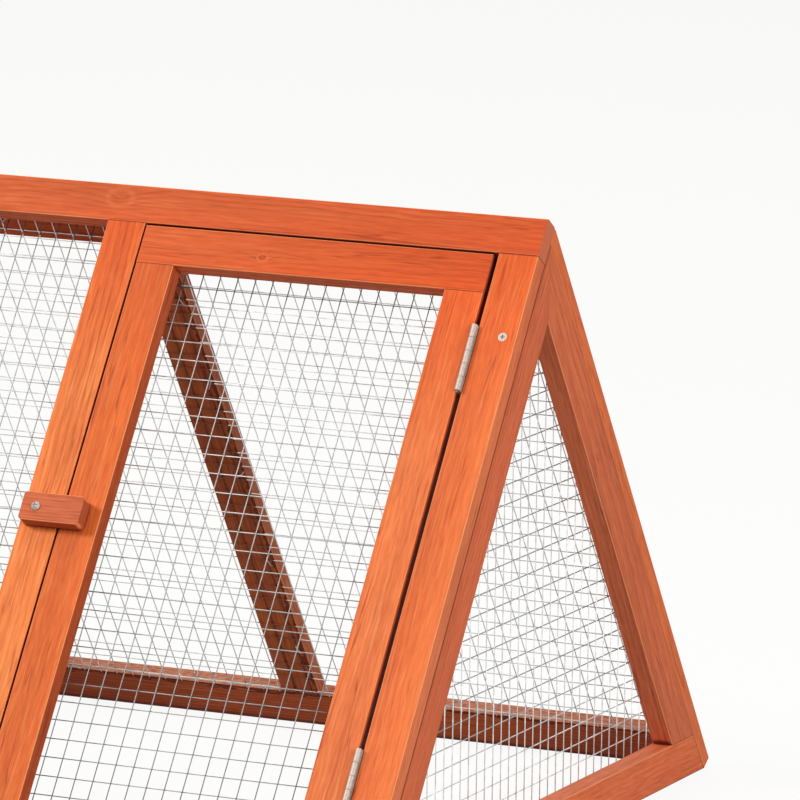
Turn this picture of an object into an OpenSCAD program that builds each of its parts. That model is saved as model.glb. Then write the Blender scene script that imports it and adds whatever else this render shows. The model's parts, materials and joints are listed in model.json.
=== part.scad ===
// Triangular rabbit hutch with a wire run: two leaning sides meet at the ridge,
// the right part is an open-bottomed run and the left part a boarded sleeping house.
// X runs along the ridge, the front is towards -Y, and Z = 0 is the ground.
// Distances called "from the right" are measured from the right end face, towards -X.

/* [Overall] */
// Length along the ridge
body_len = 1180; // [1000:10:1500]
// Length of the front side, down the slope
slope_len = 497; // [440:1:560]
// Lean of each side from upright, in degrees
lean = 34.3; // [30:0.1:38]
// Step of the back side behind the front one, level with the ridge
back_shift = 6.6; // [5:0.1:8]
// Radius of the eased edges of all timber
ease_r = 0.8; // [0.6:0.1:2]

/* [Front side] */
// Thickness of the front timber
front_t = 12.8; // [11:0.1:16]
// Width of the front ridge rail
front_ridge_w = 26.6; // [22:0.1:32]
// Width of the front bottom rail
front_foot_w = 30.8; // [24:0.1:38]
// Width of the front legs and stiles
front_stile_w = 27.7; // [24:0.1:34]

/* [Back side] */
// Thickness of the back timber
back_t = 11; // [10:0.1:14]
// Distance down the slope to the lower edge of the back ridge rail
back_ridge_low = 47; // [42:0.5:56]
// How far the top of the back ridge rail is planed below that of the front one
ridge_step = 0.8; // [0:0.1:2]
// Width of the back bottom rail
back_foot_w = 30.8; // [24:0.1:38]
// Width of the back stiles
back_stile_w = 29.2; // [26:0.1:34]
// Distance of the back middle stile from the right
back_mid_from_right = 283; // [240:1:340]

/* [Ends] */
// Thickness of the end frames, along the ridge
end_t = 14.7; // [12:0.1:18]
// Width of the end members under the front side
end_front_w = 27.7; // [22:0.1:34]
// Width of the end members under the back side
end_back_w = 30.8; // [24:0.1:36]
// Height of the sills that cross the hutch on the ground
sill_h = 27.5; // [22:0.5:34]

/* [Doors] */
// Width of the run door
run_door_w = 249.2; // [200:0.2:320]
// Width of the house door
house_door_w = 360; // [300:1:420]
// Width of the door rails and stiles
door_stock_w = 27.3; // [22:0.1:34]
// Gap beside each door that holds its hinges
hinge_gap = 3.6; // [3.4:0.1:4.2]
// Gap between a door and the stile it latches on
latch_gap = 1.3; // [1:0.1:2.5]
// Gap above and below each door
door_end_gap = 1.4; // [1:0.1:3]

/* [Hinges] */
// Length of a hinge
hinge_len = 46.8; // [36:0.1:60]
// Distance from a door's top to its upper hinge
hinge_high_inset = 51.5; // [30:0.1:80]
// Distance from a door's foot to its lower hinge
hinge_low_inset = 42.4; // [30:0.1:80]
// Thickness of a hinge leaf
leaf_t = 1; // [0.8:0.1:1.2]
// Depth of a hinge leaf into the gap
leaf_depth = 11; // [8:0.5:12]
// Outer radius of a hinge knuckle
knuckle_r = 1.9; // [1.8:0.1:2.4]
// Radius of a hinge pin
pin_r = 1.1; // [0.9:0.05:1.2]
// How far the hinge axis stands out from the front face
axis_out = 2.4; // [2.2:0.1:3]
// Running clearance round the pins
pin_clear = 0.05; // [0.02:0.01:0.1]

/* [Turn buttons] */
// Length of a turn button
button_len = 43.4; // [36:0.1:48]
// Width of a turn button
button_w = 20; // [14:0.5:24]
// Thickness of a turn button
button_t = 10; // [6:0.5:12]
// Distance from a button's end to its pivot
button_pivot = 10.4; // [6:0.1:12]
// Distance of the buttons down the slope
button_down = 238; // [150:1:330]
// Air between a button and the faces that it turns on
button_gap = 0.3; // [0.2:0.05:0.6]
// Radius of a button's corners
button_r = 2.5; // [1:0.1:4]

/* [Screws] */
// Radius of the shank of a pivot screw
pivot_r = 2; // [1.5:0.05:2.5]
// Radius of the head of a pivot screw
pivot_head_r = 3.4; // [3:0.1:4.5]
// Length of a pivot screw under its head
pivot_len = 21; // [16:0.5:22]
// Radius of the shank of a frame screw
screw_r = 1.75; // [1.4:0.05:2.2]
// Radius of the countersunk head of a frame screw
screw_head_r = 3; // [2.6:0.1:3.6]
// Length of a frame screw
screw_len = 32; // [24:0.5:36]
// Distance of the upper frame screws down the slope
screw_high = 85.4; // [75:0.1:110]
// Distance of the lower frame screws up the slope from the bottom rails
screw_low_up = 46.2; // [30:0.1:80]
// Distance of the corner screws from the end face
screw_in = 9.7; // [5:0.1:11]
// Clearance round every screw
screw_clear = 0.05; // [0.02:0.01:0.1]

/* [Wire mesh] */
// Pitch of the welded mesh
mesh_pitch = 12.7; // [10:0.1:26]
// Thickness of the mesh wire
wire_t = 0.9; // [0.7:0.1:1.4]
// How far a mesh laps over the timber round it
mesh_lap = 8; // [5:0.5:12]
// Most gaps that one mesh is drawn with
mesh_gaps = 300; // [100:10:300]

/* [House] */
// Nominal width of the boards
board_w = 60; // [45:1:90]
// Thickness of the boards that line the house
board_t = 7; // [5:0.5:10]
// Thickness of the boards of the partition
partition_t = 10; // [8:0.5:12]
// Depth of the V joint between boards
board_v = 1.2; // [0.5:0.1:2]
// Gap left between neighbouring boards
board_gap = 0.3; // [0.1:0.1:1]
// Width of the doorway between run and house
doorway_w = 140; // [100:1:160]
// Height of the straight sides of the doorway
doorway_h = 180; // [150:1:190]
// Rise of the arch over the doorway
doorway_rise = 32; // [15:1:40]
// Thickness of the house floor
floor_t = 9; // [6:0.5:12]
// Height and width of the battens under the floor
batten_w = 14; // [8:0.5:15]
// Air round the floor board
floor_gap = 1.5; // [1:0.1:3]

/* [Hidden] */
$fn = 16;

stain = "#D8673B";
dark_stain = "#A84D2A";
zinc = "#B9BABB";
cut = 1;
arch_sides = 96;
knuckles = 5;
knuckle_gap = 0.3;
leaf_clear = 0.15;
seat_gap = 0.3;
mesh_air = 1;
weld_gap = 0.03;
screw_cone_h = 1.8;
screw_tip_h = 4;
pivot_head_h = 2.2;
cross_len = 3.2;
cross_w = 0.8;
cross_deep = 1.1;
far = 2 * slope_len;

// Height of the outer ridge line, and where the back side ends down its slope
apex_z = slope_len * cos(lean) + front_t * sin(lean);
back_end = (apex_z - back_t * sin(lean)) / cos(lean);
// The ridge line lies off the middle, so that the hutch is centred over its footprint
front_reach = (slope_len - ease_r) * sin(lean) - ease_r * cos(lean) + ease_r;
back_reach = back_shift + (back_end - ease_r) * sin(lean) - ease_r * cos(lean) + ease_r;
apex_y = (front_reach - back_reach) / 2;

// Distances from the right of what stands side by side on the front
run_door_u = front_stile_w + hinge_gap;
latch_stile_u = run_door_u + run_door_w + latch_gap;
house_leg_u = body_len - front_stile_w;
house_door_u = house_leg_u - hinge_gap - house_door_w;
partition_stile_u = house_door_u - latch_gap - front_stile_w;
partition_u = partition_stile_u + front_stile_w / 2;
back_partition_u = partition_u - back_stile_w / 2;
partition_sill_u = partition_u - end_t / 2;
mesh_left_u = partition_sill_u - mesh_air;

// Distances down the slope of the doors and of the timber round them
front_foot_s = slope_len - front_foot_w;
door_top_s = front_ridge_w + door_end_gap;
door_low_s = front_foot_s - door_end_gap;
back_foot_s = back_end - back_foot_w;

// Y of a plane that lies a depth inside the front or the back face, at a height
function front_y(z, depth) = apex_y - (apex_z - z) * tan(lean) + depth / cos(lean);
function back_y(z, depth) = apex_y + back_shift + (apex_z - z) * tan(lean) - depth / cos(lean);
// Where two such planes meet
function meet_z(front_depth, back_depth) =
    apex_z - ((front_depth + back_depth) / cos(lean) - back_shift) / (2 * tan(lean));
function meet(front_depth, back_depth) =
    [front_y(meet_z(front_depth, back_depth), front_depth), meet_z(front_depth, back_depth)];
// X of a distance from the right
function at(u) = body_len / 2 - u;
// Step between drawn wires: every wire, or every second or third one of a large mesh
function wire_step(area) = mesh_pitch * ceil(sqrt(area / (mesh_pitch * mesh_pitch * mesh_gaps)));
// Number of boards of about the nominal width that fill a span
function board_count(span) = max(1, round(span / board_w));

// The two leaning frames of reference: X along the ridge, Y down the slope, Z into the hutch
module in_front() {
    translate([0, apex_y, apex_z])
        rotate([-90 - lean, 0, 0])
            children();
}
module in_back() {
    translate([0, apex_y + back_shift, apex_z])
        rotate([0, 0, 180])
            rotate([-90 - lean, 0, 0])
                children();
}

// Section of planed timber with eased edges
module eased(w, t, r = ease_r) {
    translate([r, 0]) square([w - 2 * r, t]);
    translate([0, r]) square([w, t - 2 * r]);
    for (x = [r, w - r])
        for (y = [r, t - r])
            translate([x, y]) circle(r);
}
// Timber along X, w wide down the slope
module rail(len, w, t) {
    rotate([90, 0, 90]) linear_extrude(len) eased(w, t);
}
// Timber down the slope, w wide along X
module stile(w, len, t) {
    translate([0, len, 0]) rotate([90, 0, 0]) linear_extrude(len) eased(w, t);
}
module front_rail(u0, u1, s, w) {
    in_front() translate([at(u1), s, 0]) rail(u1 - u0, w, front_t);
}
module front_stile(u, w, s0, s1) {
    in_front() translate([at(u + w), s0, 0]) stile(w, s1 - s0, front_t);
}
module back_rail(s, w) {
    len = body_len - 2 * back_stile_w;
    in_back() translate([-len / 2, s, 0]) rail(len, w, back_t);
}
module back_stile(u, s0, s1) {
    in_back() translate([-at(u), s0, 0]) stile(back_stile_w, s1 - s0, back_t);
}
// Bevels the top of the back timber to lie against the front rail, and planes it down beside it
module back_top_planed() {
    difference() {
        children();
        in_front() translate([-body_len, -far / 2, front_t - far]) cube([2 * body_len, far, far]);
        in_front() translate([-body_len, ridge_step - far, -far / 2]) cube([2 * body_len, far, far]);
    }
}
// Outline in the end view, stretched along the ridge from u to u + len
module across(u, len) {
    translate([at(u + len), 0, 0]) rotate([90, 0, 90]) linear_extrude(len) children();
}

// Frame screw along Z, its head flush at Z = 0, grown by a clearance for its hole
module frame_screw(grow = 0) {
    rotate_extrude()
        polygon([
            [0, -grow], [screw_head_r + grow, -grow], [screw_head_r + grow, 0],
            [screw_r + grow, screw_cone_h], [screw_r + grow, screw_len - screw_tip_h],
            [0, screw_len + grow]
        ]);
}
module cross_recess() {
    for (turn = [0, 90])
        rotate([0, 0, turn]) translate([-cross_len / 2, -cross_w / 2, -cross_deep])
            cube([cross_len, cross_w, 2 * cross_deep]);
}
// Puts its child at each frame screw of both sides
module at_frame_screws() {
    for (u = [screw_in, partition_u, body_len - screw_in]) {
        for (s = [screw_high, front_foot_s - screw_low_up])
            in_front() translate([at(u), s, 0]) children();
        for (s = [screw_high, back_foot_s - screw_low_up])
            in_back() translate([-at(u), s, 0]) children();
    }
}
module screw_holes() {
    at_frame_screws() frame_screw(screw_clear);
}

// Welded mesh on Z = 0: one layer of wires each way inside a stouter border
module mesh(outline, inner, low, high) {
    step = wire_step(abs(area(outline)));
    linear_extrude(wire_t) intersection() {
        polygon(outline);
        for (x = [low.x + step : step : high.x - wire_t])
            translate([x - wire_t / 2, low.y]) square([wire_t, high.y - low.y]);
    }
    translate([0, 0, wire_t + weld_gap]) linear_extrude(wire_t) intersection() {
        polygon(outline);
        for (y = [low.y + step : step : high.y - wire_t])
            translate([low.x, y - wire_t / 2]) square([high.x - low.x, wire_t]);
    }
    linear_extrude(2 * wire_t + weld_gap) difference() {
        polygon(outline);
        polygon(inner);
    }
}
function area(p) = len(p) == 3 ? cross(p[1] - p[0], p[2] - p[0]) / 2
    : (cross(p[1] - p[0], p[2] - p[0]) + cross(p[2] - p[0], p[3] - p[0])) / 2;
module mesh_sheet(w, h) {
    mesh([[0, 0], [w, 0], [w, h], [0, h]],
        [[wire_t, wire_t], [w - wire_t, wire_t], [w - wire_t, h - wire_t], [wire_t, h - wire_t]],
        [0, 0], [w, h]);
}

// Section of a board, its width along Y and its V joints on the X = 0 face
module board(w, t) {
    polygon([[0, board_v], [board_v, 0], [t, 0], [t, w], [board_v, w], [0, w - board_v]]);
}
// Boards laid level across the hutch from z0 to z1, their V joints at x, turned to face -X or +X
module level_boards(x, turned, t, z0, z1) {
    pitch = (z1 - z0) / board_count(z1 - z0);
    for (z = [z0 : pitch : z1 - pitch / 2])
        translate([x, 0, z]) rotate([0, 0, turned ? 180 : 0]) translate([0, far / 2, 0])
            rotate([90, 0, 0]) linear_extrude(far) board(pitch - board_gap, t);
}

// Front side
module front_ridge_rail() {
    color(stain) front_rail(0, body_len, 0, front_ridge_w);
}
module front_bottom_rail() {
    color(stain) front_rail(0, body_len, front_foot_s, front_foot_w);
}
module front_end_leg() {
    color(stain) difference() {
        front_stile(0, front_stile_w, front_ridge_w, front_foot_s);
        screw_holes();
    }
}
module front_left_leg() {
    color(stain) difference() {
        front_stile(house_leg_u, front_stile_w, front_ridge_w, front_foot_s);
        screw_holes();
    }
}
module front_latch_stile() {
    color(stain) difference() {
        front_stile(latch_stile_u, front_stile_w, front_ridge_w, front_foot_s);
        at_button(latch_stile_u) pivot_hole();
    }
}
module front_partition_stile() {
    color(stain) difference() {
        front_stile(partition_stile_u, front_stile_w, front_ridge_w, front_foot_s);
        screw_holes();
        at_button(partition_stile_u) pivot_hole();
    }
}
module front_mesh() {
    right_u = latch_stile_u + front_stile_w - mesh_lap;
    top = front_ridge_w - mesh_lap;
    color(zinc) in_front() translate([at(mesh_left_u), top, front_t])
        mesh_sheet(mesh_left_u - right_u, front_foot_s + mesh_lap - top);
}

// Back side: the outer stiles run the whole slope, with the rails between them
module back_ridge_rail() {
    color(stain) back_top_planed() back_rail(0, back_ridge_low);
}
module back_bottom_rail() {
    color(stain) back_rail(back_foot_s, back_foot_w);
}
module back_outer_stile(u) {
    color(stain) difference() {
        back_top_planed() back_stile(u, 0, back_end);
        screw_holes();
    }
}
module back_end_stile() {
    back_outer_stile(0);
}
module back_left_stile() {
    back_outer_stile(body_len - back_stile_w);
}
module back_mid_stile() {
    color(stain) back_stile(back_mid_from_right, back_ridge_low, back_foot_s);
}
module back_partition_stile() {
    color(stain) difference() {
        back_stile(back_partition_u, back_ridge_low, back_foot_s);
        screw_holes();
    }
}
module back_mesh() {
    right_u = end_t + 2 * wire_t + mesh_air;
    top = back_ridge_low - mesh_lap;
    color(zinc) in_back() translate([-at(right_u), top, back_t])
        mesh_sheet(mesh_left_u - right_u, back_foot_s + mesh_lap - top);
}

// End frames: two members mitred under the ridge, standing on a sill between the sides
outer_peak = meet(front_t, back_t);
inner_peak = meet(front_t + end_front_w, back_t + end_back_w);
function mitre_y(z) = outer_peak.x
    + (inner_peak.x - outer_peak.x) * (z - outer_peak.y) / (inner_peak.y - outer_peak.y);
module end_front_member(u) {
    color(stain) difference() {
        intersection() {
            in_front() translate([at(u + end_t), 0, front_t]) stile(end_t, slope_len, end_front_w);
            across(u - cut, end_t + 2 * cut)
                polygon([[-far, sill_h], [mitre_y(sill_h), sill_h], [mitre_y(far), far], [-far, far]]);
        }
        screw_holes();
    }
}
module end_back_member(u) {
    color(stain) difference() {
        intersection() {
            in_back() translate([-at(u), 0, back_t]) stile(end_t, slope_len, end_back_w);
            across(u - cut, end_t + 2 * cut)
                polygon([[far, sill_h], [mitre_y(sill_h), sill_h], [mitre_y(far), far], [far, far]]);
        }
        screw_holes();
    }
}
module sill(u) {
    color(stain) intersection() {
        translate([at(u + end_t), far / 2, 0]) rotate([90, 0, 0]) linear_extrude(far)
            eased(end_t, sill_h);
        across(u - cut, end_t + 2 * cut) polygon([
            [front_y(-cut, front_t), -cut], [back_y(-cut, back_t), -cut],
            [back_y(sill_h + cut, back_t), sill_h + cut],
            [front_y(sill_h + cut, front_t), sill_h + cut]
        ]);
    }
}
module run_end_front_member() {
    end_front_member(0);
}
module run_end_back_member() {
    end_back_member(0);
}
module run_end_sill() {
    sill(0);
}
module gable_front_member() {
    end_front_member(body_len - end_t);
}
module gable_back_member() {
    end_back_member(body_len - end_t);
}
module gable_sill() {
    sill(body_len - end_t);
}

// Triangle between two depths inside the sides, above a height
function triangle(front_depth, back_depth, z) = [
    [front_y(z, front_depth), z],
    [back_y(z, back_depth), z],
    meet(front_depth, back_depth)
];
module run_end_mesh() {
    front_depth = front_t + end_front_w - mesh_lap;
    back_depth = back_t + end_back_w - mesh_lap;
    outline = triangle(front_depth, back_depth, sill_h - mesh_lap);
    inner = triangle(front_depth + wire_t, back_depth + wire_t, sill_h - mesh_lap + wire_t);
    color(zinc) translate([at(end_t), 0, 0]) rotate([90, 0, -90]) mirror([1, 0, 0])
        mesh(outline, inner, [outline[0].x, outline[0].y], [outline[1].x, outline[2].y]);
}

// Boards of the house, cut to the slope of the sides
module under_slopes(u, len, front_depth, back_depth, z) {
    across(u, len) polygon(triangle(front_depth, back_depth, z));
}
module gable_boards() {
    u = body_len - end_t - board_t;
    color(stain) intersection() {
        level_boards(at(u + board_t), false, board_t, sill_h + seat_gap, inner_peak.y + 2 * mesh_lap);
        under_slopes(u - cut, board_t + 2 * cut, front_t + seat_gap, back_t + seat_gap, sill_h);
    }
}
module partition_sill() {
    sill(partition_sill_u);
}
partition_right_u = partition_u - partition_t / 2;
lintel_z = sill_h + doorway_h;
lintel_top = lintel_z + board_w;
arch_r = (doorway_w * doorway_w / 4 + doorway_rise * doorway_rise) / (2 * doorway_rise);
module partition_outline() {
    under_slopes(partition_right_u - cut, partition_t + 2 * cut, front_t + seat_gap,
        back_t + seat_gap, sill_h);
}
module doorway() {
    across(partition_right_u - cut, partition_t + 2 * cut) {
        translate([outer_peak.x - doorway_w / 2, 0]) square([doorway_w, lintel_z]);
        intersection() {
            translate([outer_peak.x, lintel_z + doorway_rise - arch_r])
                circle(arch_r, $fn = arch_sides);
            translate([outer_peak.x - doorway_w / 2, lintel_z - cut]) square([doorway_w, board_w]);
        }
    }
}
module partition_side_boards() {
    color(stain) difference() {
        intersection() {
            level_boards(at(partition_right_u), true, partition_t, sill_h, lintel_z);
            partition_outline();
        }
        doorway();
        screw_holes();
    }
}
module partition_arch_board() {
    color(stain) difference() {
        intersection() {
            level_boards(at(partition_right_u), true, partition_t, lintel_z, lintel_top);
            partition_outline();
        }
        doorway();
    }
}
module partition_upper_boards() {
    color(stain) difference() {
        intersection() {
            level_boards(at(partition_right_u), true, partition_t, lintel_top, outer_peak.y - board_t);
            partition_outline();
        }
        screw_holes();
    }
}
module house_back_boards() {
    right_u = partition_sill_u + end_t + seat_gap;
    left_u = body_len - end_t - board_t - seat_gap;
    top = back_ridge_low / 2;
    low = back_foot_s + mesh_lap;
    pitch = (low - top) / board_count(low - top);
    color(stain) in_back() for (s = [top : pitch : low - pitch / 2])
        translate([-at(left_u), s, back_t])
            rotate([0, -90, 0]) linear_extrude(left_u - right_u) board(pitch - board_gap, board_t);
}
module house_floor() {
    right_u = partition_sill_u + end_t + floor_gap;
    left_u = body_len - end_t - floor_gap;
    y0 = front_y(sill_h, front_t) + floor_gap;
    y1 = back_y(sill_h, back_t + board_t) - floor_gap;
    color(stain) translate([at(left_u), y0, sill_h - floor_t])
        cube([left_u - right_u, y1 - y0, floor_t]);
}
module floor_battens() {
    z = sill_h - floor_t - batten_w;
    y0 = front_y(sill_h - floor_t, front_t) + floor_gap;
    y1 = back_y(sill_h - floor_t, back_t + board_t) - floor_gap;
    color(stain) for (u = [partition_sill_u + end_t, body_len - end_t - batten_w])
        translate([at(u + batten_w), y0, z]) cube([batten_w, y1 - y0, batten_w]);
}

// Doors: rails over and under the stiles
module door_rail(u, w, s) {
    color(stain) front_rail(u, u + w, s, door_stock_w);
}
module door_stile(u) {
    color(stain) front_stile(u, door_stock_w, door_top_s + door_stock_w, door_low_s - door_stock_w);
}
module run_door_top_rail() {
    door_rail(run_door_u, run_door_w, door_top_s);
}
module run_door_bottom_rail() {
    door_rail(run_door_u, run_door_w, door_low_s - door_stock_w);
}
module run_door_hinge_stile() {
    door_stile(run_door_u);
}
module run_door_latch_stile() {
    door_stile(run_door_u + run_door_w - door_stock_w);
}
module run_door_mesh() {
    edge = door_stock_w - mesh_lap;
    color(zinc) in_front()
        translate([at(run_door_u + run_door_w - edge), door_top_s + edge, front_t])
            mesh_sheet(run_door_w - 2 * edge, door_low_s - door_top_s - 2 * edge);
}
module house_door_top_rail() {
    door_rail(house_door_u, house_door_w, door_top_s);
}
module house_door_bottom_rail() {
    door_rail(house_door_u, house_door_w, door_low_s - door_stock_w);
}
module house_door_hinge_stile() {
    door_stile(house_door_u + house_door_w - door_stock_w);
}
module house_door_latch_stile() {
    door_stile(house_door_u);
}
module house_door_boards() {
    edge = door_stock_w - mesh_lap;
    span = house_door_w - 2 * edge;
    pitch = span / board_count(span);
    color(stain) in_front() for (u = [house_door_u + edge : pitch : house_door_u + edge + span - pitch / 2])
        translate([at(u + pitch - board_gap / 2), door_top_s + edge, front_t])
            rotate([-90, -90, 0]) linear_extrude(door_low_s - door_top_s - 2 * edge)
                board(pitch - board_gap, board_t);
}

// Butt hinges in the gap beside a door; the axis lies on Z = 0 and runs along Y from 0
knuckle_len = hinge_len / knuckles;
module knuckle(i) {
    translate([0, i * knuckle_len + knuckle_gap / 2, 0]) rotate([-90, 0, 0])
        difference() {
            cylinder(h = knuckle_len - knuckle_gap, r = knuckle_r);
            translate([0, 0, -cut]) cylinder(h = knuckle_len + 2 * cut, r = pin_r + pin_clear);
        }
}
module leaf(first, side) {
    x0 = side > 0 ? hinge_gap / 2 - leaf_t : -hinge_gap / 2;
    plate_top = knuckle_r + leaf_clear;
    for (i = [first : 2 : knuckles - 1]) {
        knuckle(i);
        translate([x0, i * knuckle_len + knuckle_gap / 2, pin_r + pin_clear])
            cube([leaf_t, knuckle_len - knuckle_gap, plate_top]);
    }
    translate([x0, 0, plate_top]) cube([leaf_t, hinge_len, leaf_depth + axis_out - plate_top]);
}
module hinge_pin() {
    rotate([-90, 0, 0]) cylinder(h = hinge_len, r = pin_r);
}
// Puts its child on both hinge places of the gap that starts a distance from the right
module at_hinges(u) {
    in_front() for (s = [door_top_s + hinge_high_inset, door_low_s - hinge_low_inset - hinge_len])
        translate([at(u + hinge_gap / 2), s, -axis_out]) children();
}
run_hinge_u = front_stile_w;
house_hinge_u = house_leg_u - hinge_gap;
module run_frame_hinge_leaves() {
    color(zinc) at_hinges(run_hinge_u) leaf(0, 1);
}
module run_door_hinge_leaves() {
    color(zinc) at_hinges(run_hinge_u) leaf(1, -1);
}
module run_hinge_pins() {
    color(zinc) at_hinges(run_hinge_u) hinge_pin();
}
module house_frame_hinge_leaves() {
    color(zinc) at_hinges(house_hinge_u) leaf(0, -1);
}
module house_door_hinge_leaves() {
    color(zinc) at_hinges(house_hinge_u) leaf(1, 1);
}
module house_hinge_pins() {
    color(zinc) at_hinges(house_hinge_u) hinge_pin();
}

// Turn buttons: the pivot stands in the middle of a stile, Z runs into the stile
module at_button(stile_u) {
    in_front() translate([at(stile_u + front_stile_w / 2), button_down, 0]) children();
}
module pivot_hole() {
    translate([0, 0, -cut])
        cylinder(h = cut + pivot_len - button_t - 2 * button_gap + screw_clear, r = pivot_r + screw_clear);
}
module turn_button() {
    difference() {
        translate([-button_pivot, -button_w / 2, -button_t - button_gap])
            intersection() {
                linear_extrude(button_t) eased(button_len, button_w, button_r);
                rail(button_len, button_w, button_t);
            }
        translate([0, 0, -button_t - cut]) cylinder(h = button_t + 2 * cut, r = pivot_r + pin_clear);
    }
}
module run_turn_button() {
    color(dark_stain) at_button(latch_stile_u) turn_button();
}
module house_turn_button() {
    color(dark_stain) at_button(partition_stile_u) rotate([0, 0, 180]) turn_button();
}
// Pan-headed pivot screw, its head just clear of the button
module pivot_screw() {
    head_z = -button_t - 2 * button_gap;
    translate([0, 0, head_z]) difference() {
        rotate_extrude() {
            square([pivot_r, pivot_len]);
            intersection() {
                translate([0, pivot_head_r - pivot_head_h]) circle(pivot_head_r);
                translate([0, -pivot_head_h]) square([pivot_head_r, pivot_head_h]);
            }
        }
        translate([0, 0, -pivot_head_h]) cross_recess();
    }
}
module button_screws() {
    color(zinc) for (u = [latch_stile_u, partition_stile_u])
        at_button(u) pivot_screw();
}
module frame_screws() {
    color(zinc) at_frame_screws() difference() {
        frame_screw();
        cross_recess();
    }
}

front_ridge_rail();
front_bottom_rail();
front_end_leg();
front_latch_stile();
front_partition_stile();
front_left_leg();
front_mesh();
back_ridge_rail();
back_bottom_rail();
back_end_stile();
back_mid_stile();
back_partition_stile();
back_left_stile();
back_mesh();
run_end_front_member();
run_end_back_member();
run_end_sill();
run_end_mesh();
gable_front_member();
gable_back_member();
gable_sill();
gable_boards();
partition_sill();
partition_side_boards();
partition_arch_board();
partition_upper_boards();
house_back_boards();
house_floor();
floor_battens();
run_door_top_rail();
run_door_bottom_rail();
run_door_hinge_stile();
run_door_latch_stile();
run_door_mesh();
run_door_hinge_leaves();
run_frame_hinge_leaves();
run_hinge_pins();
house_door_top_rail();
house_door_bottom_rail();
house_door_hinge_stile();
house_door_latch_stile();
house_door_boards();
house_door_hinge_leaves();
house_frame_hinge_leaves();
house_hinge_pins();
run_turn_button();
house_turn_button();
button_screws();
frame_screws();
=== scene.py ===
import json
import math
import random

import bpy
from mathutils import Matrix, Vector


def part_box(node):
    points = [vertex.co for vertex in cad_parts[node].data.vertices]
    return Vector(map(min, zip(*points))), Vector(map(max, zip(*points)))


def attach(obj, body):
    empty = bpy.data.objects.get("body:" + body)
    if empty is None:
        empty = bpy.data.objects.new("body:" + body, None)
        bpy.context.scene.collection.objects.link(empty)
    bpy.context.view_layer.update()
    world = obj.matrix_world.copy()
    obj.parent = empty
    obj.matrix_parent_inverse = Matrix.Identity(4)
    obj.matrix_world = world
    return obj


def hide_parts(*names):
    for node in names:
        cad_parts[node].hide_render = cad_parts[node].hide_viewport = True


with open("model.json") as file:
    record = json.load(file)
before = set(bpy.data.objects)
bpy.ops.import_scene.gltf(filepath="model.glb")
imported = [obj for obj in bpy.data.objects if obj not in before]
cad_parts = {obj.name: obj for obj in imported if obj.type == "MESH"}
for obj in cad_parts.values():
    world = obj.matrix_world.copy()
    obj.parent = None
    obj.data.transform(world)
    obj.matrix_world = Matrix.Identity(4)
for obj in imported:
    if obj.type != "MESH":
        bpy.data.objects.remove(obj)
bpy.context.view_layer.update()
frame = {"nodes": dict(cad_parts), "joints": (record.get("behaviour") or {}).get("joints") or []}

# Camera: it stands five metres off at the front right, a little over the ridge, and looks through
# a long lens, so that the run's door and open end fill the frame. Its turns are in degrees.
camera_data = bpy.data.cameras.new("camera")
camera_data.sensor_width = 36
camera_data.lens = 347.04
camera_data.clip_start = 0.1
camera_data.clip_end = 100
camera = bpy.data.objects.new("camera", camera_data)
camera.location = (2.5605, -4.4842, 1.1733)
camera.rotation_euler = [math.radians(turn) for turn in (79.864, -0.699, 24.963)]
bpy.context.scene.collection.objects.link(camera)
bpy.context.scene.camera = camera


# Studio: a pale floor and an even pale room, which the camera and everything shiny see as white.
# One large lamp at the front left lights the fronts, a soft one hangs overhead, and a weaker one
# at the right lights the open end.
def put(tree, kind, inputs=None, **settings):
    """A new node of a tree. Each input is a value or the socket that feeds it."""
    made = tree.nodes.new(kind)
    for name, value in settings.items():
        setattr(made, name, value)
    for key, value in (inputs or {}).items():
        if isinstance(value, bpy.types.NodeSocket):
            tree.links.new(value, made.inputs[key])
        else:
            made.inputs[key].default_value = value
    return made


def math_node(tree, operation, first, second=0.0, clamp=False):
    """The result socket of one sum on numbers."""
    made = put(tree, "ShaderNodeMath", {0: first, 1: second}, operation=operation)
    made.use_clamp = clamp
    return made.outputs[0]


def seen_white(tree):
    """One for the rays of the camera and of everything shiny or clear, nought for the others."""
    path = put(tree, "ShaderNodeLightPath").outputs
    seen = math_node(tree, "MAXIMUM", path["Is Camera Ray"], path["Is Glossy Ray"])
    return math_node(tree, "MAXIMUM", seen, path["Is Transmission Ray"])


WHITE = (0.973, 0.973, 0.960, 1)
ROOM_LIGHT = (1, 0.985, 0.97, 1)
bpy.context.scene.view_settings.view_transform = "Standard"
world = bpy.data.worlds.new("room")
bpy.context.scene.world = world
world.use_nodes = True
room = world.node_tree
room.nodes.clear()
lit = put(room, "ShaderNodeBackground", {"Color": ROOM_LIGHT, "Strength": 0.2})
white = put(room, "ShaderNodeBackground", {"Color": WHITE, "Strength": 1.0})
either = put(room, "ShaderNodeMixShader",
             {0: seen_white(room), 1: lit.outputs[0], 2: white.outputs[0]})
put(room, "ShaderNodeOutputWorld", {"Surface": either.outputs[0]})

# the floor glows almost as white as the room, and its faint paint keeps the hutch's shadow
FLOOR_REACH = 40.0
FLOOR_GREY = (0.22, 0.22, 0.215, 1)
FAINT_GREY = (0.1, 0.1, 0.1, 1)
FLOOR_GLOW = 0.925
floor_mesh = bpy.data.meshes.new("floor")
corners = [(FLOOR_REACH * x, FLOOR_REACH * y, 0) for x, y in ((-1, -1), (1, -1), (1, 1), (-1, 1))]
floor_mesh.from_pydata(corners, [], [(0, 1, 2, 3)])
floor = bpy.data.objects.new("floor", floor_mesh)
bpy.context.scene.collection.objects.link(floor)
floor_paint = bpy.data.materials.new("floor_paint")
floor_paint.use_nodes = True
tree = floor_paint.node_tree
tree.nodes.clear()
paint = put(tree, "ShaderNodeBsdfDiffuse", {"Color": FLOOR_GREY})
faint = put(tree, "ShaderNodeBsdfDiffuse", {"Color": FAINT_GREY})
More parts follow.
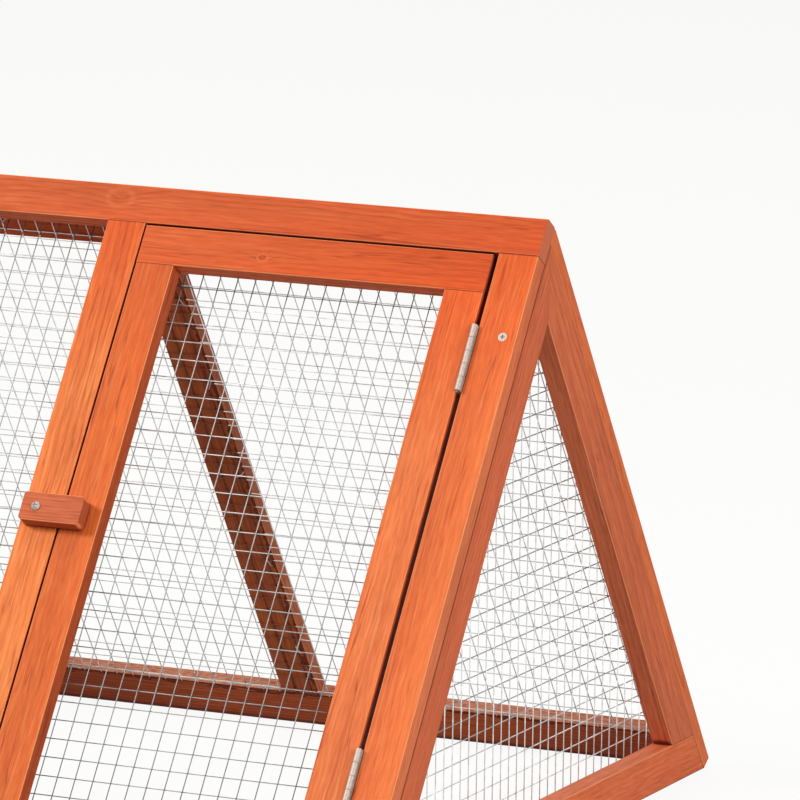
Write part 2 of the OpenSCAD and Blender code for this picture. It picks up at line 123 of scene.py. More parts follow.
glow = put(tree, "ShaderNodeEmission", {"Color": WHITE, "Strength": FLOOR_GLOW})
shown = put(tree, "ShaderNodeAddShader", {0: faint.outputs[0], 1: glow.outputs[0]})
either = put(tree, "ShaderNodeMixShader",
             {0: seen_white(tree), 1: paint.outputs[0], 2: shown.outputs[0]})
put(tree, "ShaderNodeOutputMaterial", {"Surface": either.outputs[0]})
floor_mesh.materials.append(floor_paint)

LAMPS_AIM = Vector((0.2, 0, 0.2))


def softbox(name, place, width, power, colour):
    """A square lamp that faces the middle of the hutch."""
    data = bpy.data.lights.new(name, "AREA")
    data.shape = "SQUARE"
    data.size = width
    data.energy = power
    data.color = colour
    lamp = bpy.data.objects.new(name, data)
    lamp.location = place
    lamp.rotation_euler = (LAMPS_AIM - Vector(place)).to_track_quat("-Z", "Y").to_euler()
    bpy.context.scene.collection.objects.link(lamp)


softbox("front_lamp", place=(-3.2, -2.7, 3.5), width=1.5, power=198, colour=(1, 0.98, 0.95))
softbox("top_lamp", place=(0.1, 0.2, 4.4), width=2.4, power=55, colour=(1, 0.98, 0.96))
softbox("end_lamp", place=(3.3, -1.6, 1.1), width=1.4, power=66, colour=(1, 0.98, 0.96))

# Front ridge rail: the long planed softwood bar along the ridge, its face on the front slope. All
# timber has the same translucent orange-red stain, through which rings, streaks and knots show.
joint = {entry["name"]: entry for entry in frame["joints"]}
ALONG = Vector((1, 0, 0))
UP_FRONT = Vector(joint["run_door_hinge"]["axis"]).normalized()
OUT_FRONT = Vector(joint["run_button_turn"]["axis"]).normalized()


def spread(node, direction):
    """The least and greatest reach of a CAD piece along a direction."""
    reaches = [vertex.co.dot(direction) for vertex in frame["nodes"][node].data.vertices]
    return min(reaches), max(reaches)


def ramp(tree, value, low, high, first=0.0, last=1.0):
    """A number that runs from first to last while the value runs from low to high."""
    made = put(tree, "ShaderNodeMapRange", {0: value, 1: low, 2: high, 3: first, 4: last})
    return made.outputs[0]


def laid_over(tree, amount, under, over, way="MIX"):
    """One colour laid over another, by an amount. Sockets 6 and 7 are the node's two colours."""
    made = put(tree, "ShaderNodeMix", {0: amount, 6: under, 7: over},
               data_type="RGBA", blend_type=way)
    return made.outputs[2]


def reach_along(tree, place, direction):
    """How far a place lies along a direction."""
    made = put(tree, "ShaderNodeVectorMath", {0: place, 1: direction}, operation="DOT_PRODUCT")
    return made.outputs["Value"]


def off_plane(tree, place, normal, distance):
    """How far a place lies from a plane, on either side of it."""
    off = math_node(tree, "SUBTRACT", reach_along(tree, place, normal), distance)
    return math_node(tree, "ABSOLUTE", off)


def stained_softwood():
    """The group that draws stained softwood. Its vectors run along, across and out of grain."""
    group = bpy.data.node_groups.new("stained_softwood", "ShaderNodeTree")
    colour, number, vector = "NodeSocketColor", "NodeSocketFloat", "NodeSocketVector"
    for name, kind, value in (
            ("Vector", vector, (0, 0, 0)), ("Facing", vector, (0, 0, 1)),
            ("Light", colour, (1, 1, 1, 1)), ("Dark", colour, (0, 0, 0, 1)),
            ("Tint", colour, (1, 1, 1, 1)), ("Side Painted Light", colour, (1, 1, 1, 1)),
            ("End Grain", colour, (0, 0, 0, 1)), ("Joint", number, 0.0),
            ("Ring Width", number, 0.004), ("Rings", number, 0.5), ("Streaks", number, 0.5),
            ("Sawn", number, 0.0), ("Knot", vector, (9, 9, 9)), ("Knot Width", number, 0.006),
            ("Knot Depth", number, 0.5)):
        made = group.interface.new_socket(name, in_out="INPUT", socket_type=kind)
        made.default_value = value
    for name, kind in (("Color", colour), ("Height", number), ("Roughness", number)):
        group.interface.new_socket(name, in_out="OUTPUT", socket_type=kind)
    given = put(group, "NodeGroupInput").outputs

    def vector_node(operation, first, second=(0, 0, 0)):
        return put(group, "ShaderNodeVectorMath", {0: first, 1: second},
                   operation=operation).outputs

    def noise(waves, detail, place=given["Vector"]):
        """Noise with its own waves per metre along, across and into the grain."""
        stretched = vector_node("MULTIPLY", place, waves)[0]
        return put(group, "ShaderNodeTexNoise",
                   {"Vector": stretched, "Scale": 1.0, "Detail": detail}).outputs

    def strayed(waves, detail, depth):
        """How far the grain strays sideways, up to half a depth, in waves of its own."""
        aside = vector_node("SUBTRACT", noise(waves, detail)["Color"], (0.5, 0.5, 0.5))
        return vector_node("MULTIPLY", aside[0], (0, depth, depth))[0]

    def times(first, second):
        return math_node(group, "MULTIPLY", first, second)

    def sum_of(*parts):
        """All the parts added up, each a value or a value and its share."""
        total = 0.0
        for part in parts:
            if isinstance(part, tuple):
                part = times(*part)
            total = math_node(group, "ADD", part, total)
        return total

    # rings round the pith, bent as the tree grew, with small waves, and pushed aside by the knot
    BEND = 0.013
    WAVE = 0.0030
    KNOT_PUSH = 0.007
    stray = vector_node("ADD", strayed((2.2, 9, 9), 1.0, BEND), strayed((24, 70, 70), 1.5, WAVE))
    bent = vector_node("ADD", given["Vector"], stray[0])[0]
    radius = vector_node("LENGTH", vector_node("MULTIPLY", bent, (0.02, 1, 1))[0])["Value"]
    from_knot = vector_node("SUBTRACT", given["Vector"], given["Knot"])[0]
    from_knot = vector_node("MULTIPLY", from_knot, (0.7, 1, 0))[0]
    from_knot = vector_node("LENGTH", from_knot)["Value"]
    knot_reach = math_node(group, "DIVIDE", from_knot, given["Knot Width"])
    swirl = math_node(group, "EXPONENT", times(knot_reach, -0.6))
    rings = math_node(group, "DIVIDE", sum_of(radius, (swirl, KNOT_PUSH)), given["Ring Width"])
    late = put(group, "ShaderNodeValToRGB", {0: math_node(group, "FRACT", rings)})
    late.color_ramp.elements[0].color = (0.6, 0.6, 0.6, 1)
    late.color_ramp.elements[1].position = 0.14
    late.color_ramp.elements[1].color = (0, 0, 0, 1)
    for place, level in ((0.55, 0.1), (0.93, 1.0)):
        late.color_ramp.elements.new(place).color = (level, level, level, 1)
    season = ramp(group, noise((1.2, 60, 60), 1.0)[0], 0.35, 0.6, 0.25, 1.0)
    late = times(times(late.outputs[0], season), given["Rings"])

    # broad streaks, fibres, and thin broken lines, some dark and some pale
    PALE_LINE = (0.97, 0.30, 0.10, 1)
    HONEY = (0.90, 0.23, 0.06, 1)
    streak = times(ramp(group, noise((2.4, 60, 60), 2.0, bent)[0], 0.36, 0.66), given["Streaks"])
    line = math_node(group, "SUBTRACT", noise((6, 170, 170), 1.5, bent)[0], 0.5)
    line = ramp(group, math_node(group, "ABSOLUTE", line), 0.022, 0.0)
    line = times(line, ramp(group, noise((28, 120, 120), 1.0)[0], 0.48, 0.62))
    fibre = ramp(group, noise((75, 620, 620), 2.0)[0], 0.36, 0.64)
    pale = ramp(group, noise((16, 560, 560), 1.0, bent)[0], 0.56, 0.72)
    around = math_node(group, "ABSOLUTE", math_node(group, "SUBTRACT", knot_reach, 1.0))
    around = ramp(group, around, 0.35, 0.0)
    heart = ramp(group, knot_reach, 1.0, 0.5)
    depth = sum_of((fibre, 0.24), late, streak, (line, 0.6),
                   (times(heart, given["Knot Depth"]), 0.4))
    depth = math_node(group, "ADD", depth, 0.0, clamp=True)
    stain = laid_over(group, depth, given["Light"], given["Dark"])
    bright = math_node(group, "MAXIMUM", times(pale, 0.32), times(around, given["Knot Depth"]))
    stain = laid_over(group, bright, stain, PALE_LINE)
    golden = ramp(group, noise((1.5, 30, 30), 1.5)[0], 0.45, 0.72, 0.0, 0.28)
    stain = laid_over(group, golden, stain, HONEY)
    blotch = ramp(group, noise((7, 22, 22), 2)[0], 0.3, 0.7, 0.91, 1.06)
    stain = put(group, "ShaderNodeHueSaturation", {"Value": blotch, "Color": stain}).outputs[0]

    # the broad faces and the edges have their own tints of painted light and shade, end grain is
    # duller, and sawn edges stay pale
    RAW_PALE = (0.80, 0.36, 0.22, 1)
    RAW_DARK = (0.50, 0.17, 0.10, 1)
    facing = vector_node("ABSOLUTE", given["Facing"])[0]
    endways, sideways, outwards = put(group, "ShaderNodeSeparateXYZ", {0: facing}).outputs
    for direction, painted_light_tint in ((outwards, "Tint"), (sideways, "Side Painted Light")):
        stain = laid_over(group, ramp(group, direction, 0.6, 0.95), stain, given[painted_light_tint], "MULTIPLY")
    end_grain = ramp(group, endways, 0.85, 0.97)
    stain = laid_over(group, times(end_grain, 0.65), stain, given["End Grain"])
    edge = times(ramp(group, sideways, 0.9, 0.98), given["Sawn"])
    speckle = ramp(group, noise((150, 900, 900), 2)[0], 0.4, 0.62)
    stain = laid_over(group, times(edge, 0.9), stain,
                      laid_over(group, speckle, RAW_PALE, RAW_DARK))

    # a rounded arris lost some stain and is paled further as a painted highlight where nothing
    # stands beside it; joints hold more stain, and nooks and gaps near other pieces get painted
    # shade
    NEAR = 0.006
    THIN_STAIN_AND_HIGHLIGHT = (0.97, 0.38, 0.16, 1)
    THICK_STAIN_AND_SHADE = (0.13, 0.014, 0.007, 1)
    open_air = put(group, "ShaderNodeAmbientOcclusion", {"Distance": NEAR}, samples=16)
    open_air = open_air.outputs["AO"]
    flat = math_node(group, "MAXIMUM", math_node(group, "MAXIMUM", endways, sideways), outwards)
    thin_stain_and_highlight = times(ramp(group, flat, 0.985, 0.93, 0.0, 0.75), ramp(group, open_air, 0.8, 0.95))
    stain = laid_over(group, thin_stain_and_highlight, stain, THIN_STAIN_AND_HIGHLIGHT)
    joint_stain_and_shade = math_node(group, "MAXIMUM", ramp(group, open_air, 0.68, 0.36, 0.0, 0.92),
                     given["Joint"])
    stain = laid_over(group, joint_stain_and_shade, stain, THICK_STAIN_AND_SHADE)

    height = sum_of((late, -0.4), (fibre, -0.4), (line, -0.6))
    rough = sum_of((fibre, 0.1), (edge, 0.3), 0.46)
    put(group, "NodeGroupOutput", {"Color": stain, "Height": height, "Roughness": rough})
    return group


SOFTWOOD = stained_softwood()
FROM_PITH = 0.04


def torn_edge(tree, place, grain, across, arris, reach):
    """How far the saw tore the fibres beside an arris: all of it there, ragged and then none."""
    LONG_WAVES, SHORT_WAVES = 70, 300  # per metre, along and across the grain
    off = math_node(tree, "SUBTRACT", arris, reach_along(tree, place, across))
    waves = [SHORT_WAVES + (LONG_WAVES - SHORT_WAVES) * abs(value) for value in grain]
    torn = put(tree, "ShaderNodeVectorMath", {0: place, 1: waves}, operation="MULTIPLY")
    torn = put(tree, "ShaderNodeTexNoise",
               {"Vector": torn.outputs[0], "Scale": 1.0, "Detail": 2.0}).outputs[0]
    inside = math_node(tree, "LESS_THAN", off, ramp(tree, torn, 0.4, 0.72, 0.25 * reach, reach))
    inside = math_node(tree, "MULTIPLY", inside, math_node(tree, "GREATER_THAN", off, 0.0002))
    return math_node(tree, "MULTIPLY", inside, 0.85)


def timber(node, grain, out, light=(0.92, 0.165, 0.038), dark=(0.44, 0.052, 0.014),
           width=0.0030, rings=0.36, streaks=0.3, sawn=0.0, knot=None, knot_width=0.004,
           knot_depth=0.6, painted_light_tint=(1, 1, 1), far_painted_light_tint=None, far_reach=0.12, side=(1, 1, 1),
           ends=(0.62, 0.18, 0.10), seams=(), splinters=()):
    """Stains one CAD piece, its grain along one direction and its face looking out along another.

    The pattern starts from the piece's own place in a log, picked by its name. Its face has one
    tint of painted light and shade, and may fade to another near its far end; its sides have one
    of their own. Seams are planes where it meets others, each with how dark it is and how far it
    reaches. Splinters are such planes too."""
    log = random.Random(node)
    material = bpy.data.materials.new(node + "_stain")
    material.use_nodes = True
    tree = material.node_tree
    shader = tree.nodes["Principled BSDF"]
    turned = Matrix((grain, out.cross(grain), out))
    coordinates = put(tree, "ShaderNodeTexCoord").outputs
    place = coordinates["Object"]
    middle = sum(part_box(node), Vector()) / 2
    shift = Vector((log.uniform(-2, 2), log.choice((-1, 1)) * log.uniform(0.6, 1.4) * FROM_PITH,
                    log.uniform(0.3, 1.0) * FROM_PITH))
    local = put(tree, "ShaderNodeMapping",
                {"Vector": place, "Rotation": turned.to_euler(),
                 "Location": shift - turned @ middle})
    facing = put(tree, "ShaderNodeMapping",
                 {"Vector": coordinates["Normal"], "Rotation": turned.to_euler()},
                 vector_type="VECTOR")
    warm = log.uniform(0.94, 1.06)
    values = {"Vector": local.outputs[0], "Facing": facing.outputs[0],
              "Light": (light[0], light[1] * warm, light[2] * warm, 1),
              "Dark": (dark[0], dark[1] * warm, dark[2] * warm, 1),
              "Tint": (*painted_light_tint, 1), "Side Painted Light": (*side, 1), "End Grain": (*ends, 1),
              "Ring Width": width * log.uniform(0.85, 1.2), "Rings": rings, "Streaks": streaks,
              "Sawn": sawn}
    if far_painted_light_tint:
        end = spread(node, grain)[1]
        share = ramp(tree, reach_along(tree, place, grain), end - far_reach, end)
        values["Tint"] = laid_over(tree, share, (*painted_light_tint, 1), (*far_painted_light_tint, 1))
    meeting = 0.0
    for normal, distance, darkness, reach in seams:
        off = off_plane(tree, place, normal, distance)
        near = ramp(tree, off, reach, reach / 2, 0.0, darkness)
        meeting = math_node(tree, "MAXIMUM", near, meeting)
    for across, arris, reach in splinters:
        torn = torn_edge(tree, place, grain, across, arris, reach)
        meeting = math_node(tree, "MAXIMUM", torn, meeting)
    values["Joint"] = meeting
    if knot:
        values["Knot"] = shift + Vector((knot[0], knot[1], 0))
        values["Knot Width"] = knot_width
        values["Knot Depth"] = knot_depth
    wood = put(tree, "ShaderNodeGroup", values, node_tree=SOFTWOOD)
    bump = put(tree, "ShaderNodeBump",
               {"Strength": 0.2, "Distance": 0.0003, "Height": wood.outputs["Height"]})
    tree.links.new(wood.outputs["Color"], shader.inputs["Base Color"])
    tree.links.new(wood.outputs["Roughness"], shader.inputs["Roughness"])
    tree.links.new(bump.outputs[0], shader.inputs["Normal"])
    shader.inputs["Specular IOR Level"].default_value = 0.12
    part = frame["nodes"][node]
    part.data.materials.clear()
    part.data.materials.append(material)


# its face is darkened, most towards its far end: painted shade
timber("front_ridge_rail", ALONG, OUT_FRONT, knot=(0.2848, 0.0032), knot_width=0.0064,
       knot_depth=0.3, painted_light_tint=(0.84, 0.80, 0.84), far_painted_light_tint=(0.75, 0.60, 0.57), far_reach=0.4)

# Front bottom rail: the ridge rail's fellow along the ground, planed from the same softwood.
# The legs and stiles stand on it, butted and glued.
timber("front_bottom_rail", ALONG, OUT_FRONT)

# Front legs and stiles: bars of the same stock between the two rails, their grain down the slope.
# Each has its own tint, a painted sheen that pales its face, and all are redder under the ridge,
# where the painted sheen gives way and the stain is thickest. Stain gathered in the joints at
# their ends.
UNDER_RIDGE_STAIN_AND_SHADE = (0.97, 0.85, 0.67)


def butts(node, direction, width=0.0004):
    """The planes of a piece's two ends, which stand against other timber."""
    return [(direction, reach, 0.75, width) for reach in spread(node, direction)]


# the end leg's face is paled as painted sheen, and its side, which faces the open end, as painted
# light
timber("front_end_leg", UP_FRONT, OUT_FRONT, side=(0.96, 1.2, 1.8), rings=0.14, streaks=0.22,
       seams=butts("front_end_leg", UP_FRONT, 0.0009), painted_light_tint=(0.99, 1.15, 1.3),
       far_painted_light_tint=UNDER_RIDGE_STAIN_AND_SHADE)
timber("front_latch_stile", UP_FRONT, OUT_FRONT, seams=butts("front_latch_stile", UP_FRONT),
       painted_light_tint=(1.1, 1.6, 1.65), far_painted_light_tint=UNDER_RIDGE_STAIN_AND_SHADE)
for name in ("front_partition_stile", "front_left_leg"):
    timber(name, UP_FRONT, OUT_FRONT, seams=butts(name, UP_FRONT), painted_light_tint=(1, 1.2, 1.2),
           far_painted_light_tint=UNDER_RIDGE_STAIN_AND_SHADE)

# Run door frame: two softwood rails over and under two stiles, butted and glued. The top rail has
# a small knot, and the latch stile's inner edge is darker than its face.
# the top rail's face is darkened as painted shade, and the stiles' faces are paled as painted
# sheen
timber("run_door_top_rail", ALONG, OUT_FRONT, knot=(-0.0357, -0.0028), knot_width=0.0026,
       painted_light_tint=(0.79, 0.73, 0.72), far_painted_light_tint=(0.86, 0.62, 0.46), far_reach=0.2)
timber("run_door_bottom_rail", ALONG, OUT_FRONT)
timber("run_door_hinge_stile", UP_FRONT, OUT_FRONT, rings=0.28,
       seams=butts("run_door_hinge_stile", UP_FRONT), painted_light_tint=(0.98, 1.38, 1.75),
       far_painted_light_tint=UNDER_RIDGE_STAIN_AND_SHADE)
timber("run_door_latch_stile", UP_FRONT, OUT_FRONT, rings=0.12, side=(0.6, 0.58, 0.5),
       seams=butts("run_door_latch_stile", UP_FRONT), painted_light_tint=(0.96, 1.15, 1.0),
       far_painted_light_tint=(0.78, 0.78, 0.72))

# Back frame: the ridge rail bevelled against the front one, a bottom rail and four stiles between
# them. Their narrow edges were left as the saw cut them, paler and torn along one arris.
UP_BACK = Vector((0, -UP_FRONT.y, UP_FRONT.z))
OUT_BACK = Vector((0, -OUT_FRONT.y, OUT_FRONT.z))
TORN_REACH = 0.005
timber("back_ridge_rail", ALONG, OUT_BACK)
timber("back_bottom_rail", ALONG, OUT_BACK, sawn=1.0, light=(0.70, 0.15, 0.045),
       dark=(0.30, 0.042, 0.014),
       splinters=[(UP_BACK, spread("back_bottom_rail", UP_BACK)[1], TORN_REACH)])
for name in ("back_end_stile", "back_left_stile"):
    timber(name, UP_BACK, OUT_BACK, light=(0.96, 0.23, 0.070), dark=(0.50, 0.085, 0.027))
for name in ("back_mid_stile", "back_partition_stile"):
    timber(name, UP_BACK, OUT_BACK, sawn=0.3, light=(0.62, 0.145, 0.042),
           dark=(0.27, 0.045, 0.014), seams=butts(name, UP_BACK),
           splinters=[(ALONG, spread(name, ALONG)[1], TORN_REACH)])

# End frames: two members mitred under the ridge at each end, with a sill across the ground
# between the sides, and one more sill under the partition. Their softwood is a little pinker.
ACROSS = Vector((0, 1, 0))
UP = Vector((0, 0, 1))
PINKER = {"light": (0.80, 0.180, 0.069), "dark": (0.40, 0.060, 0.026)}

# the mitre's plane holds its lower end and the line that it takes up to the ridge
MITRE_FOOT = Vector((0, -0.001133, 0.349599))
MITRE_LINE = Vector((0, 0.001876, 0.051906))
mitre = MITRE_LINE.cross(ALONG).normalized()
for end in ("run_end", "gable"):
    front, back, sill = (end + part for part in ("_front_member", "_back_member", "_sill"))
    meets = [(mitre, mitre.dot(MITRE_FOOT), 0.2, 0.0004), (UP, spread(sill, UP)[1], 0.6, 0.0005)]
    beside_front = (-OUT_FRONT, spread(front, -OUT_FRONT)[0], 0.8, 0.0014)
    beside_back = (-OUT_BACK, spread(back, -OUT_BACK)[0], 0.5, 0.0009)
    # the back members' and sills' outer sides are paled: painted light
    timber(front, UP_FRONT, ALONG, seams=meets + [beside_front], **PINKER)
    timber(back, UP_BACK, ALONG, seams=meets + [beside_back], side=(1.12, 1.3, 1.55), **PINKER)
    timber(sill, ACROSS, ALONG, seams=[beside_front, beside_back], side=(1.0, 1.2, 1.55),
           rings=0.2, light=(1.0, 0.22, 0.070), dark=(0.54, 0.075, 0.027))
timber("partition_sill", ACROSS, ALONG)

# House walls: level softwood boards with V joints, stained as the frame is. They close the gable,
# the back, and the partition with its arched doorway.
for name in ("gable_boards", "partition_side_boards", "partition_arch_board",
             "partition_upper_boards"):
    timber(name, ACROSS, ALONG)
timber("house_back_boards", ALONG, OUT_BACK)

# House floor: one wide softwood board on two battens, stained like the walls. It keeps the house
# off the ground, which the run leaves bare.
timber("house_floor", ACROSS, UP)
timber("floor_battens", ACROSS, UP)

# House door: the same butted and glued frame as the run door's, but lined with upright boards
# instead of mesh. They lie on the frame's inner side.
timber("house_door_top_rail", ALONG, OUT_FRONT)
timber("house_door_bottom_rail", ALONG, OUT_FRONT)
# their faces carry the front's painted sheen, redder under the ridge
for name in ("house_door_hinge_stile", "house_door_latch_stile"):
    timber(name, UP_FRONT, OUT_FRONT, painted_light_tint=(1, 1.2, 1.2), far_painted_light_tint=UNDER_RIDGE_STAIN_AND_SHADE)
timber("house_door_boards", UP_FRONT, OUT_FRONT)

# Turn buttons: small blocks of darker, closer-grained wood with rounded edges, one beside each
# door. Each turns on a screw near its end, and lies over the door's latch stile to keep it shut.
for name in ("run_turn_button", "house_turn_button"):
    # their sides are darkened as painted shade, and their end grain is darker, partly painted
    # shade
    timber(name, ALONG, OUT_FRONT, light=(0.68, 0.16, 0.062), dark=(0.36, 0.062, 0.024),
           width=0.0015, rings=0.45, ends=(0.42, 0.095, 0.04), side=(0.8, 0.78, 0.75))


# Hinges and screws: zinc-plated steel, satin and slightly blotched. Each door hangs on two butt
# hinges, pressed from sheet and rolled round a pin, and the screws have a cross recess.
def zinc(name, colour, roughness, metallic, grain=160.0):
    """Plated steel whose tone and gloss drift a little over the surface."""
    material = bpy.data.materials.new(name)
    material.use_nodes = True
    tree = material.node_tree
    shader = tree.nodes["Principled BSDF"]
    coordinates = put(tree, "ShaderNodeTexCoord")
    cloud = put(tree, "ShaderNodeTexNoise",
                {"Vector": coordinates.outputs["Object"], "Scale": grain, "Detail": 3.0})
    tone = ramp(tree, cloud.outputs[0], 0.3, 0.7, 0.7, 1.15)
    paint = put(tree, "ShaderNodeHueSaturation", {"Value": tone, "Color": colour})
    gloss = ramp(tree, cloud.outputs[0], 0.3, 0.7, roughness * 0.8, roughness * 1.3)
    tree.links.new(paint.outputs[0], shader.inputs["Base Color"])
    tree.links.new(gloss, shader.inputs["Roughness"])
    shader.inputs["Metallic"].default_value = metallic
    return material


plated = zinc("plated_steel", (0.54, 0.48, 0.43, 1), roughness=0.5, metallic=0.3, grain=1100.0)
for name in ("run_door_hinge_leaves", "run_frame_hinge_leaves", "run_hinge_pins",
             "house_door_hinge_leaves", "house_frame_hinge_leaves", "house_hinge_pins",
             "button_screws", "frame_screws"):
    part = frame["nodes"][name]
    part.data.materials.clear()
    part.data.materials.append(plated)

# Welded mesh: galvanised half-inch mesh, its wires in two layers welded where they cross, stapled
# to the inner faces of the timber. Each sheet is cut from the roll, so its wires start anywhere.
WIRE = 0.00038  # radius
WIRE_LAYERS = (1.0, 2.7)  # how far the uprights and the levels stand off, in radii
WIRE_WOBBLE = 0.00006
WIRE_SIDES = 6
PAINTED_LIGHT_HEIGHTS = (0.12, 0.36)
LAP = 0.008
STAPLE_WIRE = 0.0004
STAPLE_SPACING = 0.085
STAPLE_SHAPE = ((-0.0042, 0.0), (-0.003, 0.0017), (0.003, 0.0017), (0.0042, 0.0))


def wire_zinc(name, low, high, rail_shadow_from, stained, heights):
    """Galvanised wire, its tones painted light and shade: as pale as given near the ground and
    near the ridge, and darkened from a height on, a painted shadow of the timber above it. Between
    stained reaches it has the timber's stain."""
    MIDDLE_TONE = 0.5
    WIRE_STAIN = (0.17, 0.036, 0.014, 1)
    material = zinc(name, (0.49, 0.495, 0.495, 1), roughness=0.45, metallic=0.6)
    tree = material.node_tree
    shader = tree.nodes["Principled BSDF"]
    place = put(tree, "ShaderNodeTexCoord").outputs["Object"]
    height = put(tree, "ShaderNodeSeparateXYZ", {0: place}).outputs[2]
    tone = ramp(tree, height, *heights, low / MIDDLE_TONE, high / MIDDLE_TONE)
    # painted shadow of the timber over the top of the sheet
    if rail_shadow_from:
        rail_shadow = ramp(tree, height, rail_shadow_from, rail_shadow_from + 0.003, 1.0, 0.3)
        tone = math_node(tree, "MULTIPLY", tone, rail_shadow)
    drifting = shader.inputs["Base Color"].links[0].from_socket
    paint = put(tree, "ShaderNodeHueSaturation", {"Value": tone, "Color": drifting}).outputs[0]
    for axis, first, last in stained:
        off = off_plane(tree, place, axis, (first + last) / 2)
        on_wood = math_node(tree, "LESS_THAN", off, (last - first) / 2)
        paint = laid_over(tree, on_wood, paint, WIRE_STAIN)
    tree.links.new(paint, shader.inputs["Base Color"])
    return material


def round_wires(name, paths, radius, materials, body):
    """One piece made of round wires, each swept along its own points and closed at its ends.
    Each path is a pair: which of the materials it has, and its points."""
    vertices = []
    faces = []
    kinds = []
    for kind, points in paths:
        first = len(vertices)
        run = (points[-1] - points[0]).normalized()
        one = run.orthogonal().normalized()
        two = run.cross(one)
        for point in points:
            for side in range(WIRE_SIDES):
                turn = 2 * math.pi * side / WIRE_SIDES
                vertices.append(point + radius * (math.cos(turn) * one + math.sin(turn) * two))
        for ring in range(len(points) - 1):
            for side in range(WIRE_SIDES):
                a = first + ring * WIRE_SIDES + side
                b = first + ring * WIRE_SIDES + (side + 1) % WIRE_SIDES
                faces.append((a, b, b + WIRE_SIDES, a + WIRE_SIDES))
        last = first + (len(points) - 1) * WIRE_SIDES
        faces.append(tuple(first + side for side in reversed(range(WIRE_SIDES))))
        faces.append(tuple(last + side for side in range(WIRE_SIDES)))
        kinds += [kind] * (len(faces) - len(kinds))
    data = bpy.data.meshes.new(name)
    data.from_pydata(vertices, [], faces)
    for material in materials:
        data.materials.append(material)
    for face, kind in zip(data.polygons, kinds):
        face.use_smooth = len(face.vertices) == 4
        face.material_index = kind
    piece = bpy.data.objects.new(name, data)
    bpy.context.scene.collection.objects.link(piece)
    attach(piece, body)
    return piece


def chord(outline, axis, level):
    """Where a line at one level of one axis enters and leaves a convex outline."""
    ends = []
    for start, end in zip(outline, outline[1:] + outline[:1]):
        a, b = start[axis], end[axis]
        if (a - level) * (b - level) < 0:
            share = (level - a) / (b - a)
            ends.append(start[1 - axis] + share * (end[1 - axis] - start[1 - axis]))
    return sorted(ends) if len(ends) == 2 else None


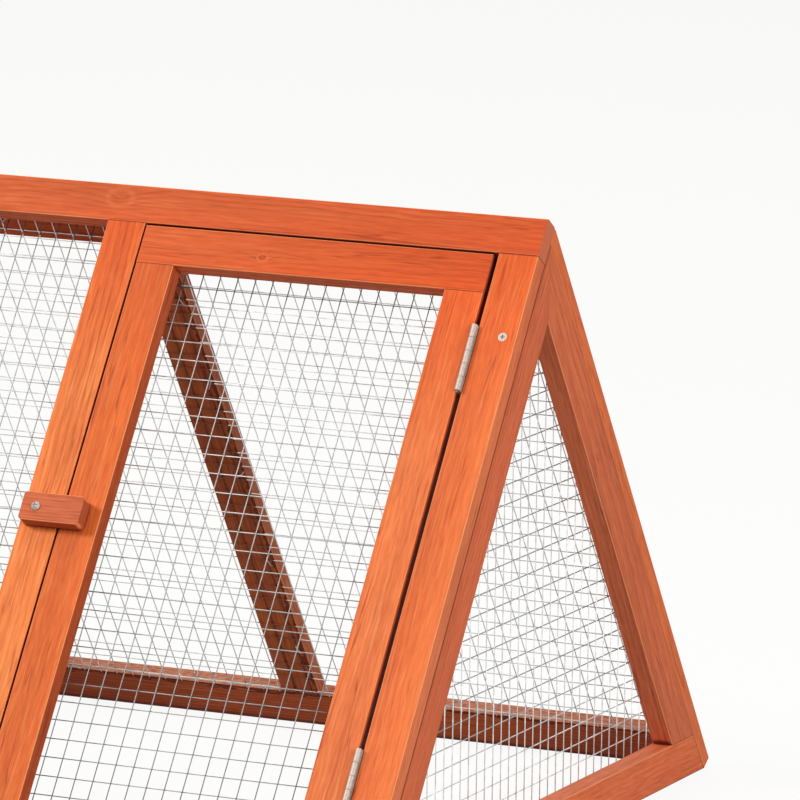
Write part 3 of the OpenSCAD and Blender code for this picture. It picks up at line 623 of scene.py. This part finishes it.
def welded_mesh(node, body, flat, steep, inward, pitches, starts, skews, painted_light_tones, outline=None,
                cut_off=0.0, run_on=0.0, rail_shadow_from=None, stained=(),
                level_painted_light_heights=PAINTED_LIGHT_HEIGHTS, rows=()):
    """A sheet of welded mesh where its CAD piece lies: the pitch of its wires along both
    directions, how far from its first corner they start, and how far they lie askew. It may be
    cut off before the sheet's last edge or run on past its first. Rows are extra lines of
    staples, over timber inside the sheet's outline."""
    drawn = random.Random(node)
    base = spread(node, inward)[0]
    if outline is None:
        (a0, a1), (b0, b1) = spread(node, flat), spread(node, steep)
        b0 -= run_on
        b1 -= cut_off
        outline = [(a0, b0), (a1, b0), (a1, b1), (a0, b1)]
    low = [min(corner[axis] for corner in outline) for axis in (0, 1)]
    high = [max(corner[axis] for corner in outline) for axis in (0, 1)]
    paths = []
    for axis, layer in enumerate(WIRE_LAYERS):
        slope = skews[axis]
        for count in range(math.ceil((high[axis] - low[axis]) / pitches[axis]) + 1):
            level = low[axis] + starts[axis] + count * pitches[axis]
            tilt = slope * (high[1 - axis] - low[1 - axis])
            reaches = [chord(outline, axis, level), chord(outline, axis, level + tilt)]
            if None in reaches:
                continue
            first = max(reach[0] for reach in reaches)
            last = min(reach[1] for reach in reaches)
            steps = max(2, round((last - first) / 0.1))
            points = []
            for step in range(steps + 1):
                other = first + (last - first) * step / steps
                aside = level + slope * (other - low[1 - axis]) + drawn.gauss(0, WIRE_WOBBLE)
                across, down = (aside, other) if axis == 0 else (other, aside)
                points.append(across * flat + down * steep + (base + layer * WIRE) * inward)
            if last - first > pitches[1 - axis]:
                paths.append((axis, points))
    zincs = [wire_zinc(node + "_uprights", *painted_light_tones[0], rail_shadow_from, stained, PAINTED_LIGHT_HEIGHTS),
             wire_zinc(node + "_levels", *painted_light_tones[1], rail_shadow_from, stained, level_painted_light_heights)]
    sheet = round_wires(node + "_wires", paths, WIRE, zincs, body)
    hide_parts(node)

    # staples: stout bright wire, driven in across the laps by hand, so none is quite straight
    centre = sum((Vector(corner) for corner in outline), Vector((0, 0))) / len(outline)
    edges = []
    for start, end in zip(outline, outline[1:] + outline[:1]):
        start, end = Vector(start), Vector(end)
        run = (end - start).normalized()
        inside = centre - start
        inside -= inside.dot(run) * run
        inside = inside.normalized() * LAP / 2
        edges.append((start + inside, end + inside))
    paths = []
    for start, end in edges + list(rows):
        count = max(2, round((end - start).length / STAPLE_SPACING))
        for number in range(count):
            middle = start.lerp(end, (number + 0.5 + drawn.uniform(-0.15, 0.15)) / count)
            across = Matrix.Rotation(drawn.gauss(0, 0.3), 2) @ (end - start).normalized()
            points = []
            for reach, height in STAPLE_SHAPE:
                place = middle + reach * across
                points.append(place.x * flat + place.y * steep + (base + height) * inward)
            paths.append((0, points))
    round_wires(node + "_staples", paths, STAPLE_WIRE, [plated], body)


# the run door's and the front's sheets: dim wires, painted shade, darkened more under the top
# timber as painted shadow
DOWN_FRONT = -UP_FRONT
welded_mesh("run_door_mesh", "run_door", ALONG, DOWN_FRONT, -OUT_FRONT,
            pitches=(0.012695, 0.012885), starts=(0.01192, 0.00404), skews=(-0.0040, 0.0015),
            painted_light_tones=((0.26, 0.52), (0.36, 0.84)), rail_shadow_from=0.353)
welded_mesh("front_mesh", "frame", ALONG, DOWN_FRONT, -OUT_FRONT,
            pitches=(0.012685, 0.012915), starts=(0.00875, 0.00627), skews=(-0.0020, 0.0015),
            painted_light_tones=((0.30, 0.44), (0.38, 0.78)), rail_shadow_from=0.38)

# the back's sheet: paler wires, painted light, lapped far up the ridge rail and stained with the
# stile and rail
DOWN_BACK = -UP_BACK
mid_left, mid_right = spread("back_mid_stile", ALONG)
welded_mesh("back_mesh", "frame", ALONG, DOWN_BACK, -OUT_BACK,
            pitches=(0.012740, 0.012805), starts=(0.00343, 0.01059), skews=(0.0055, 0.0015),
            painted_light_tones=((0.80, 0.96), (0.58, 0.92)), cut_off=0.007, run_on=0.010,
            stained=[(ALONG, mid_left, mid_right),
                     (UP_BACK, *spread("back_bottom_rail", UP_BACK))],
            rows=[[Vector((mid_right - LAP / 2, reach))
                   for reach in spread("back_mid_stile", DOWN_BACK)]])

# the run end's sheet: a triangle, its wires painted palest near the ground and darker above,
# painted light and shade
end = frame["nodes"]["run_end_mesh"].data.vertices
left = min(end, key=lambda vertex: vertex.co.y).co
right = max(end, key=lambda vertex: vertex.co.y).co
top = max(end, key=lambda vertex: vertex.co.z).co
welded_mesh("run_end_mesh", "frame", ACROSS, UP, -ALONG,
            pitches=(0.012665, 0.01300), starts=(0.00091, 0.00590), skews=(0.0020, 0.0010),
            painted_light_tones=((0.88, 0.44), (0.85, 0.29)), level_painted_light_heights=(0.06, 0.10),
            outline=[(left.y, left.z), (right.y, left.z), (top.y, top.z)])
